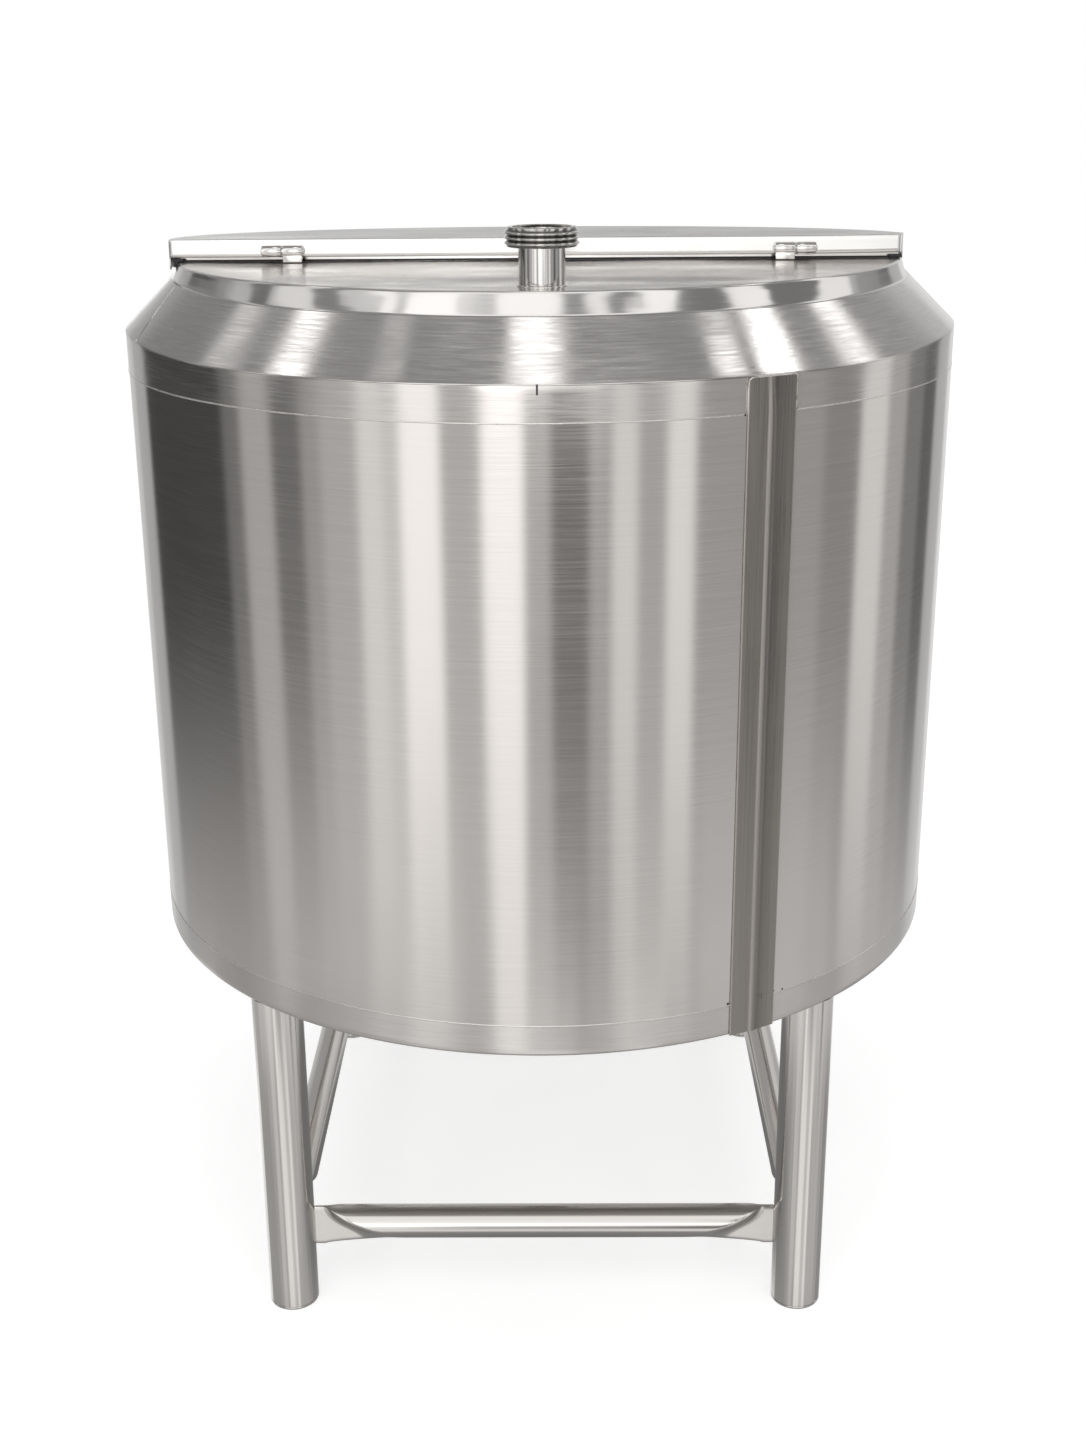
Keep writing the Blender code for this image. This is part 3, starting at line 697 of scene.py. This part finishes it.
for vert in neck.verts:
    climb = part_way(vert.co.z, 1.2286, 1.2346) * part_way(vert.co.z, high.z - 0.0005, high.z - 0.0065)
    outward = off_axis(vert.co)
    wave = noise.noise(Vector((outward.x * 7.5, outward.y * 7.5, vert.co.z * 14.0)))
    wave += 0.30 * noise.noise(Vector((outward.x * 21.0, outward.y * 21.0, vert.co.z * 30.0 + 4.0)))
    vert.co += outward * (0.00075 * climb * wave - 0.0001 * climb)
    vert.co.z += side_rise(vert.co, *neck_rise) * (rim_height - vert.co.z) / (rim_height - neck_foot.y)
piece("neck_sheet", neck, neck_finish, "tank", ["neck_ring"])


# Fixed cover: a half round of 2 mm sheet welded flush in the neck's rim, a little drawn by the welding.
# A hole is cut in it for the inlet tube. Along its straight edge stand an upstand and a black rubber
# seal, whose ends fold down over the neck's rim.
hinge_line = -0.081
inlet_place = (0.006, -0.378, 0.0)


def cut_by(target, solid, operation):
    """Cuts a solid from a piece, or joins it to it, and keeps the result as the piece's mesh."""
    bmesh.ops.recalc_face_normals(solid, faces=solid.faces)
    cutter = as_object("cutter", solid)
    change = target.modifiers.new("cut", "BOOLEAN")
    change.object = cutter
    change.operation = operation
    change.solver = "EXACT"
    bpy.context.view_layer.update()
    seen = bpy.context.evaluated_depsgraph_get()
    mesh = bpy.data.meshes.new_from_object(target.evaluated_get(seen))
    target.modifiers.clear()
    target.data = mesh
    bpy.data.objects.remove(cutter)


def front_half(bm):
    """Cuts away what lies behind the hinge line."""
    bmesh.ops.bisect_plane(
        bm,
        geom=bm.verts[:] + bm.edges[:] + bm.faces[:],
        plane_co=(0.0, hinge_line, 0.0),
        plane_no=(0.0, 1.0, 0.0),
        clear_outer=True,
    )
    return bm


cover_finish = steel(
    "rippled_cover", (0.76, 0.735, 0.71), 0.20, (7.0, 160.0, 160.0), (0.0, 1.0, 0.0),
    anisotropy=0.4, lines=0.03, smears=0.10, relief=0.004, shade=0.03,
)
cover_radius = 0.4309
cover_sheet = 0.002
low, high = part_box("fixed_cover")
cover_top = high.z
cover = front_half(turned([(cover_radius * i / 36, cover_top) for i in range(37)], 240, closed=False))
for vert in cover.verts:
    from_rim = min(1.0, (cover_radius - vert.co.xy.length) / 0.05)
    from_rim *= min(1.0, (hinge_line - vert.co.y) / 0.04)
    spot = Vector((vert.co.x * 7.0, vert.co.y * 16.0, 0.5))
    vert.co.z += from_rim * (0.0016 * noise.noise(spot) + 0.0003 * noise.noise(spot * 2.7) - 0.0008)
raised = bmesh.ops.extrude_face_region(cover, geom=cover.faces[:])["geom"]
for vert in [item for item in raised if isinstance(item, bmesh.types.BMVert)]:
    vert.co.z -= cover_sheet
sheet = piece("front_cover_sheet", cover, cover_finish, "tank", ["fixed_cover"])
punch = bmesh.new()
bmesh.ops.create_cone(
    punch, cap_ends=True, segments=128, radius1=tube_hole, radius2=tube_hole, depth=10 * cover_sheet
)
cut_by(sheet, placed(punch, (inlet_place[0], inlet_place[1], cover_top)), "DIFFERENCE")
rim_weld = front_half(ring_weld(0.4312, cover_top - 0.0004, 0.0009, 480))
bmesh.ops.holes_fill(rim_weld, edges=[edge for edge in rim_weld.edges if edge.is_boundary], sides=0)
uneven(rim_weld, 0.0002, (60.0, 60.0, 60.0), Vector((0.0, 0.0, 1.0)))
piece("cover_rim_weld", rim_weld, cover_finish, "tank")
upstand = bar(*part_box("cover_upstand"), 0.0004)
piece("cover_edge_upstand", upstand, cover_finish, "tank", ["cover_upstand"])
rubber = speckled("black_rubber", 0.6, 700.0, (0.012, 0.012, 0.013), (0.035, 0.035, 0.036), 0.0001)
seal = bar(*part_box("hinge_line_seal"), 0.0007)
piece("upstand_seal", seal, rubber, "tank", ["hinge_line_seal"])
for name, low, high in (
    ("seal_end_left", (-0.4302, -0.0866, 1.2530), (-0.4180, -0.0822, 1.2568)),
    ("seal_tail_left", (-0.4302, -0.0866, 1.2470), (-0.4268, -0.0822, 1.2534)),
    ("seal_end_right", (0.4115, -0.0866, 1.2530), (0.4258, -0.0822, 1.2568)),
):
    piece(name, bar(low, high, 0.0006), rubber, "tank")


# Inlet: a polished tube through the fixed cover, welded round its foot, with a dairy union's threaded
# ring on top. The ring's seal recess and its three round threads are turned.
inlet_finish = union_finish("turned_inlet")
inlet_thread = thread_finish("threaded_inlet", inlet_place)
tube = union_pipe("union_tube", inlet_place)
piece("inlet_pipe", tube, inlet_finish, "tank", ["union_tube"])
ring_foot, ring_top = [corner.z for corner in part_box("union_collar")]
ring = threaded_ring(ring_top, 1, inlet_place)
piece("inlet_threaded_ring", ring, inlet_thread, "tank", ["union_collar"])
weld = ring_weld(0.0244, cover_top + 0.0001, 0.0017, 128, inlet_place, 12)
for vert in weld.verts:
    vert.co.z += 0.00025 * noise.noise(vert.co * 180.0)
piece("inlet_foot_weld", weld, inlet_finish, "tank")
weld = ring_weld(0.0244, ring_foot - 0.0002, 0.0012, 96, inlet_place)
piece("inlet_ring_weld", weld, inlet_finish, "tank")


# Lid: the rear half round, one sheet folded down along the hinge line and round the back. It falls
# slightly to the back, where it lies on the neck's rim. Its right front corner is cut back, closed with
# a folded flap and bent up a little.
lid_axis = Vector((0.0, -0.0943, 1.2653))
lid_fall = math.atan2(0.0244, 0.5278)
lid_sheet = 0.0015
lid_top = 0.0134
lid_outer = 0.4425
skirt_bottom = 1.2445
lid_centre = -lid_axis.y / math.cos(lid_fall)
flange_face = 0.0068
flange_bottom = -0.0071
flange_end = 0.4243
corner_cut = 0.090
fold = 0.0012


def lid_ends(radius, front):
    """The half round's first and last angle, where its arc meets the front line and the cut corner."""
    start = math.pi + math.asin((lid_centre - front) / radius)
    end = -math.asin((lid_centre - flange_face - corner_cut + (front - flange_face) * 0.9) / radius)
    return start, end


def lid_rim(share, inset):
    """The point on the front line and the point on the arc at a share of the way from left to right."""
    radius, front = lid_outer - inset, flange_face + inset
    start, end = lid_ends(radius, front)
    angle = start + (end - start) * share
    arc_point = Vector((radius * math.cos(angle), lid_centre + radius * math.sin(angle)))
    left = radius * math.cos(start)
    line_point = Vector((left + (flange_end + inset * 0.5 - left) * share, front))
    return line_point, arc_point


def lid_lift(x, y):
    """How far the bent corner rises."""
    part = part_way(x, 0.262, 0.422)
    return 0.0012 * part * part * part_way(y, flange_face + 0.13, flange_face)


lid_finish = steel(
    "satin_lid", (0.78, 0.765, 0.75), 0.24, (7.0, 300.0, 300.0), (0.0, 1.0, 0.0),
    anisotropy=0.4, lines=0.03, relief=0.006,
)
# The lid's inside: a rougher mill finish, and darker than its top as painted shade for the closed space under
# the lid.
underside_painted_shade = steel(
    "dull_underside_painted_shade", (0.34, 0.335, 0.33), 0.42, (7.0, 240.0, 240.0), (0.0, 1.0, 0.0),
    anisotropy=0.3, lines=0.05,
)
plate_rows = 22
section = [("front", i / 4) for i in range(5)]
section += [("front fold", i / 5) for i in range(1, 6)]
section += [("plate", i / plate_rows) for i in range(1, plate_rows)]
section += [("back fold", 1.0 - i / 5) for i in range(6)]
section += [("skirt", 1.0 - i / 4) for i in range(1, 5)]
pan = bmesh.new()
bmesh.ops.create_grid(pan, x_segments=180, y_segments=len(section) - 1, size=0.5)
for vert in pan.verts:
    share = vert.co.x + 0.5
    part, along_part = section[round((vert.co.y + 0.5) * (len(section) - 1))]
    outer_line, outer_arc = lid_rim(share, 0.0)
    inner_line, inner_arc = lid_rim(share, fold)
    if part == "front":
        spot, height = outer_line, flange_bottom + (lid_top - fold - flange_bottom) * along_part
    elif part == "plate":
        spot = inner_line + (inner_arc - inner_line) * along_part
        wave = 0.0008 * noise.noise(Vector((spot.x * 6.0, spot.y * 9.0, 2.0))) - 0.0003
        height = lid_top + wave * math.sin(math.pi * along_part)
    elif part == "skirt":
        lowest = (skirt_bottom - lid_axis.z + outer_arc.y * math.sin(lid_fall)) / math.cos(lid_fall)
        spot, height = outer_arc, lowest + (lid_top - fold - lowest) * along_part
    else:
        inner, outer = (inner_line, outer_line) if part == "front fold" else (inner_arc, outer_arc)
        turn = math.pi / 2 * along_part
        spot = inner + (outer - inner) * math.cos(turn)
        height = lid_top - fold * (1.0 - math.sin(turn))
    vert.co = (spot.x, spot.y, height + lid_lift(spot.x, spot.y))
bmesh.ops.remove_doubles(pan, verts=pan.verts, dist=1e-6)
lid_place = Matrix.Translation(lid_axis) @ Matrix.Rotation(-lid_fall, 4, "X")
bmesh.ops.transform(pan, matrix=lid_place, verts=pan.verts)
lid_nodes = ["lid_plate", "lid_skirt", "lid_front_flange"]
lid_pan = piece("lid_pan", pan, lid_finish, "lid", lid_nodes, crease=40)
if sum(face.normal.z * face.area for face in lid_pan.data.polygons) < 0:
    lid_pan.data.flip_normals()
lid_pan.data.materials.append(underside_painted_shade)
wall = lid_pan.modifiers.new("sheet", "SOLIDIFY")
wall.thickness = lid_sheet
wall.offset = -1.0
wall.use_even_offset = True
wall.material_offset = 1
cut_start = Vector((flange_end, flange_face, 0.0))
cut_end_x = math.sqrt(lid_outer**2 - (lid_centre - flange_face - corner_cut) ** 2)
cut_line = Vector((cut_end_x, flange_face + corner_cut, 0.0)) - cut_start
flap = bar((-0.0003, 0.0, flange_bottom), (cut_line.length - 0.0004, lid_sheet, lid_top), 0.0005)
placed(flap, cut_start, math.atan2(cut_line.y, cut_line.x))
for vert in flap.verts:
    vert.co.z += lid_lift(vert.co.x, vert.co.y)
bmesh.ops.transform(flap, matrix=lid_place, verts=flap.verts)
piece("lid_corner_flap", flap, lid_finish, "lid")


# Hinges: two weld-on hinges, each with two short barrels on one pin. The inner barrel stands on a tab
# that is welded to the fixed cover, and the outer barrel's tab is welded to the lid's front.
barrel_radius = 0.0065
barrel_length = 0.0229
barrel_gap = 0.0016
pin_radius = 0.0030
pin_end, pin_edge = 0.0252, 0.0006
hinge_from_middle = 0.300
hinge_finish = steel(
    "turned_hinge", (0.74, 0.72, 0.70), 0.13, (900.0, 25.0, 25.0), (1.0, 0.0, 0.0),
    anisotropy=0.2, lines=0.05,
)
half = barrel_length / 2
step = (barrel_length + barrel_gap) / 2
rim = [(pin_radius + 0.0003, half - 0.0002), (pin_radius + 0.0005, half), (barrel_radius - 0.0007, half)]
rim += [(barrel_radius - 0.0002, half - 0.0002), (barrel_radius, half - 0.0007)]
barrel_outline = [(radius, -x) for radius, x in rim] + rim[::-1]
pin_rim = [(0.0, pin_end), (pin_radius - pin_edge, pin_end), (pin_radius, pin_end - pin_edge)]
pin_outline = [(radius, -x) for radius, x in pin_rim] + pin_rim[::-1]
for side, sign in (("left", -1), ("right", 1)):
    middle = sign * hinge_from_middle
    for role, x, body in (("fixed", middle - sign * step, "tank"), ("lid", middle + sign * step, "lid")):
        barrel = placed(turned(barrel_outline, 64), (x, lid_axis.y, lid_axis.z), math.pi / 2, "Y")
        knuckle = f"hinge_{side}_{role}_knuckle"
        made = piece(f"hinge_{side}_{role}_barrel", barrel, hinge_finish, body, [knuckle])
        if role == "fixed":
            low = (x - half + 0.0002, lid_axis.y - 0.0045, cover_top + 0.0003)
            high = (x + half - 0.0002, lid_axis.y + 0.0045, lid_axis.z - 0.0045)
        else:
            low = (x - half + 0.0015, lid_axis.y + 0.0010, lid_axis.z - 0.0078)
            high = (x + half - 0.0015, lid_axis.y + 0.0067, lid_axis.z - 0.0030)
        cut_by(made, bar(low, high, 0.0006), "UNION")
        made.data.set_sharp_from_angle(angle=math.radians(35))
    pin = turned(pin_outline, 48, closed=False)
    placed(pin, (middle, lid_axis.y, lid_axis.z), math.pi / 2, "Y")
    piece(f"hinge_{side}_steel_pin", pin, hinge_finish, "tank", [f"hinge_{side}_pin"])


# Studio: a white floor sheet in a room of upright soft boxes and dark flags, under a grey ceiling with
# small lamps overhead and behind. Under the tank the steel mirrors a painted shadow, a dim glow that only
# glossy rays see on the floor, and the room's own lower light in place of the rest of the floor.
floor_bm = bmesh.new()
bmesh.ops.create_circle(floor_bm, cap_ends=True, radius=14.0, segments=96)
floor = as_object("studio_floor", floor_bm)
paper, tree, shader = new_material("white_paper")
tree.nodes.remove(shader)
matt = shader_node(tree, "ShaderNodeBsdfDiffuse", {"Color": (0.8, 0.8, 0.8, 1.0)})
glow = shader_node(tree, "ShaderNodeEmission", {"Strength": 0.62})
both = shader_node(tree, "ShaderNodeAddShader", {0: matt, 1: glow})
# Painted shadow: under the tank, glossy rays see a dim glow on the floor, fading out between 0.26 and 0.56 m
# from the middle.
painted_floor_shadow = shader_node(tree, "ShaderNodeEmission", {"Strength": 0.20})
clear = shader_node(tree, "ShaderNodeBsdfTransparent", {})
distance = vector_node(tree, "LENGTH", shader_node(tree, "ShaderNodeTexCoord", {}, "Object"))
edge = mapped(tree, distance, 0.26, 0.56, run="SMOOTHSTEP")
mirrored = shader_node(tree, "ShaderNodeMixShader", {0: edge, 1: painted_floor_shadow, 2: clear})
glossy_ray = shader_node(tree, "ShaderNodeLightPath", {}, "Is Glossy Ray")
mixed = shader_node(tree, "ShaderNodeMixShader", {0: glossy_ray, 1: both, 2: mirrored})
tree.links.new(mixed, tree.nodes["Material Output"].inputs["Surface"])
floor.data.materials.append(paper)

room = bpy.data.worlds.new("studio_room")
bpy.context.scene.world = room
room.use_nodes = True
tree = room.node_tree
tree.nodes.clear()
direction = shader_node(tree, "ShaderNodeTexCoord", {}, "Generated")
parts = shader_node(tree, "ShaderNodeSeparateXYZ", {"Vector": direction}).node.outputs
azimuth = math_node(tree, "ARCTAN2", parts["X"], math_node(tree, "MULTIPLY", parts["Y"], -1.0))
on_right = math_node(tree, "GREATER_THAN", azimuth, 0.0)


def lit_round(boxes, first, last):
    """The light round from one azimuth to another: boxes of (where each starts, how bright it is), with
    a soft edge between them."""
    soft = 1.3
    stops = [(0.0, boxes[0][1])]
    for (start, level), (_, before) in zip(boxes[1:], boxes):
        stops.append(((start - soft - first) / (last - first), before))
        stops.append(((start + soft - first) / (last - first), level))
    stops.append((1.0, boxes[-1][1]))
    return ramp(tree, mapped(tree, azimuth, math.radians(first), math.radians(last)), stops)


def blended(share, below, above):
    """Goes from one light to the other as the share rises."""
    return shader_node(tree, "ShaderNodeMix", {"Factor": share, "A": below, "B": above}, data_type="RGBA")


def all_round(left, right):
    """A whole tier of the room, from the boxes on its left and on its right."""
    return blended(on_right, lit_round(left, -180, 0), lit_round(right, 0, 180))


def rising(start, end):
    """From 0 to 1 as the direction climbs between two elevations, in degrees."""
    foot, head = math.sin(math.radians(start)), math.sin(math.radians(end))
    return mapped(tree, parts["Z"], foot, head, run="SMOOTHSTEP")


# Degrees round from the camera, to its right, where each soft box or flag starts, and how bright it is.
left_walls = (
    (-180, 0.85), (-172, 1.08), (-160, 0.62), (-149, 0.48), (-136, 0.07), (-94, 0.22), (-87, 0.52),
    (-76, 0.20), (-66, 0.42), (-60, 0.56), (-49, 0.95), (-42, 0.80), (-37, 1.36), (-26, 0.60),
    (-15, 1.32), (-4, 0.52),
)
right_walls = (
    (0, 0.52), (3, 0.17), (13, 0.50), (19, 0.92), (26, 0.52), (34, 1.02), (42, 0.43), (59, 0.14),
    (70, 0.42), (82, 0.32), (96, 0.86), (108, 0.50), (118, 0.26), (129, 0.15), (139, 0.52), (153, 0.78),
)
# The same higher up, from 8 to 30 degrees above level.
left_upper = (
    (-180, 0.42), (-144, 0.28), (-117, 0.36), (-109, 0.60), (-99, 0.19), (-90, 0.60), (-86, 0.92),
    (-73, 0.27), (-62, 0.78), (-52, 1.25), (-46, 0.75), (-42, 1.40), (-24, 0.98), (-19, 0.75), (-13, 1.30),
)
right_upper = (
    (0, 1.30), (7, 0.34), (16, 1.15), (23, 0.28), (30, 1.25), (44, 0.23), (61, 1.18), (75, 0.22),
    (95, 1.05), (110, 0.52), (115, 0.38), (141, 0.58), (153, 0.75), (168, 0.32),
)
# The floor as the lower surfaces mirror it.
floor_left = (
    (-180, 0.75), (-150, 0.60), (-125, 0.58), (-85, 0.74), (-52, 0.86), (-33, 0.80), (-22, 0.72),
    (-13, 1.05), (-5, 0.62),
)
floor_right = (
    (0, 0.60), (4, 0.50), (20, 0.70), (46, 0.80), (60, 0.34), (69, 0.76), (92, 0.64), (118, 0.66),
    (145, 0.76),
)
# The near floor, which the legs mirror.
near_left = (
    (-180, 1.25), (-150, 1.00), (-120, 0.40), (-60, 0.46), (-42, 0.66), (-24, 0.52), (-14, 1.00),
)
near_right = (
    (0, 1.00), (10, 0.70), (24, 0.98), (36, 0.56), (84, 0.46), (105, 0.34), (140, 0.40), (160, 0.55),
)
under_foot = (0.36, 0.36, 0.36, 1.0)
ceiling = (0.33, 0.33, 0.33, 1.0)
light = blended(rising(-56, -38), under_foot, all_round(near_left, near_right))
light = blended(rising(-31, -27), light, all_round(floor_left, floor_right))
light = blended(rising(-31, -14), light, all_round(left_walls, right_walls))
light = blended(rising(3, 11), light, all_round(left_upper, right_upper))
light = blended(rising(29, 40), light, ceiling)

# Each lamp's azimuth, elevation and half its width, in degrees, and its strength.
lamps = (
    (-121, 38, 5, 0.8),
    (-106, 50, 5, 4.0),
    (-84, 65, 4, 0.6),
    (-4, 80, 6, 3.0),
    (95, 60, 4, 1.9),
    (105, 52, 5, 4.0),
    (121, 38, 5, 2.5),
)
for degrees, elevation, width, strength in lamps:
    a, e = math.radians(degrees), math.radians(elevation)
    toward = (math.sin(a) * math.cos(e), -math.cos(a) * math.cos(e), math.sin(e))
    nearness = vector_node(tree, "DOT_PRODUCT", direction, toward)
    rim, core = math.cos(math.radians(width)), math.cos(math.radians(width * 0.45))
    lamp = mapped(tree, nearness, rim, core, 0.0, strength, "SMOOTHSTEP")
    light = vector_node(tree, "ADD", light, lamp)

# Two broad boxes in front: a low one, level with the lid's front, and one above the camera.
for half_width, foot, head, strength in ((19, (-8, -4), (9, 15), 1.15), (52, (30, 40), (58, 70), 0.85)):
    aside = math_node(tree, "ABSOLUTE", azimuth)
    rim, core = math.radians(half_width), math.radians(half_width * 0.7)
    inside = math_node(tree, "MULTIPLY", mapped(tree, aside, rim, core, run="SMOOTHSTEP"), rising(*foot))
    inside = math_node(tree, "MULTIPLY", inside, math_node(tree, "SUBTRACT", 1.0, rising(*head)))
    light = vector_node(tree, "ADD", light, math_node(tree, "MULTIPLY", inside, strength))

seen_light = shader_node(tree, "ShaderNodeBackground", {"Color": light})
backdrop = shader_node(tree, "ShaderNodeBackground", {"Color": (1.0, 1.0, 1.0, 1.0)})
camera_ray = shader_node(tree, "ShaderNodeLightPath", {}, "Is Camera Ray")
chosen = shader_node(tree, "ShaderNodeMixShader", {0: camera_ray, 1: seen_light, 2: backdrop})
shader_node(tree, "ShaderNodeOutputWorld", {"Surface": chosen})

lens = bpy.data.cameras.new("camera")
lens.sensor_fit = "AUTO"
lens.sensor_width = 36.0
lens.lens = 45.44
lens.clip_end = 60.0
camera = bpy.data.objects.new("camera", lens)
pitch, yaw, roll = math.radians(19.24), math.radians(-0.51), math.radians(-0.42)
ahead = Vector((math.sin(yaw) * math.cos(pitch), math.cos(yaw) * math.cos(pitch), -math.sin(pitch)))
level = Vector((math.cos(yaw), -math.sin(yaw), 0.0))
upright = level.cross(ahead)
right = math.cos(roll) * level + math.sin(roll) * upright
top = -math.sin(roll) * level + math.cos(roll) * upright
looking = Matrix((right, top, -ahead)).transposed().to_4x4()
camera.matrix_world = Matrix.Translation((0.0207, -2.2925, 1.4455)) @ looking
bpy.context.scene.collection.objects.link(camera)
bpy.context.scene.camera = camera
bpy.context.scene.view_settings.view_transform = "Standard"
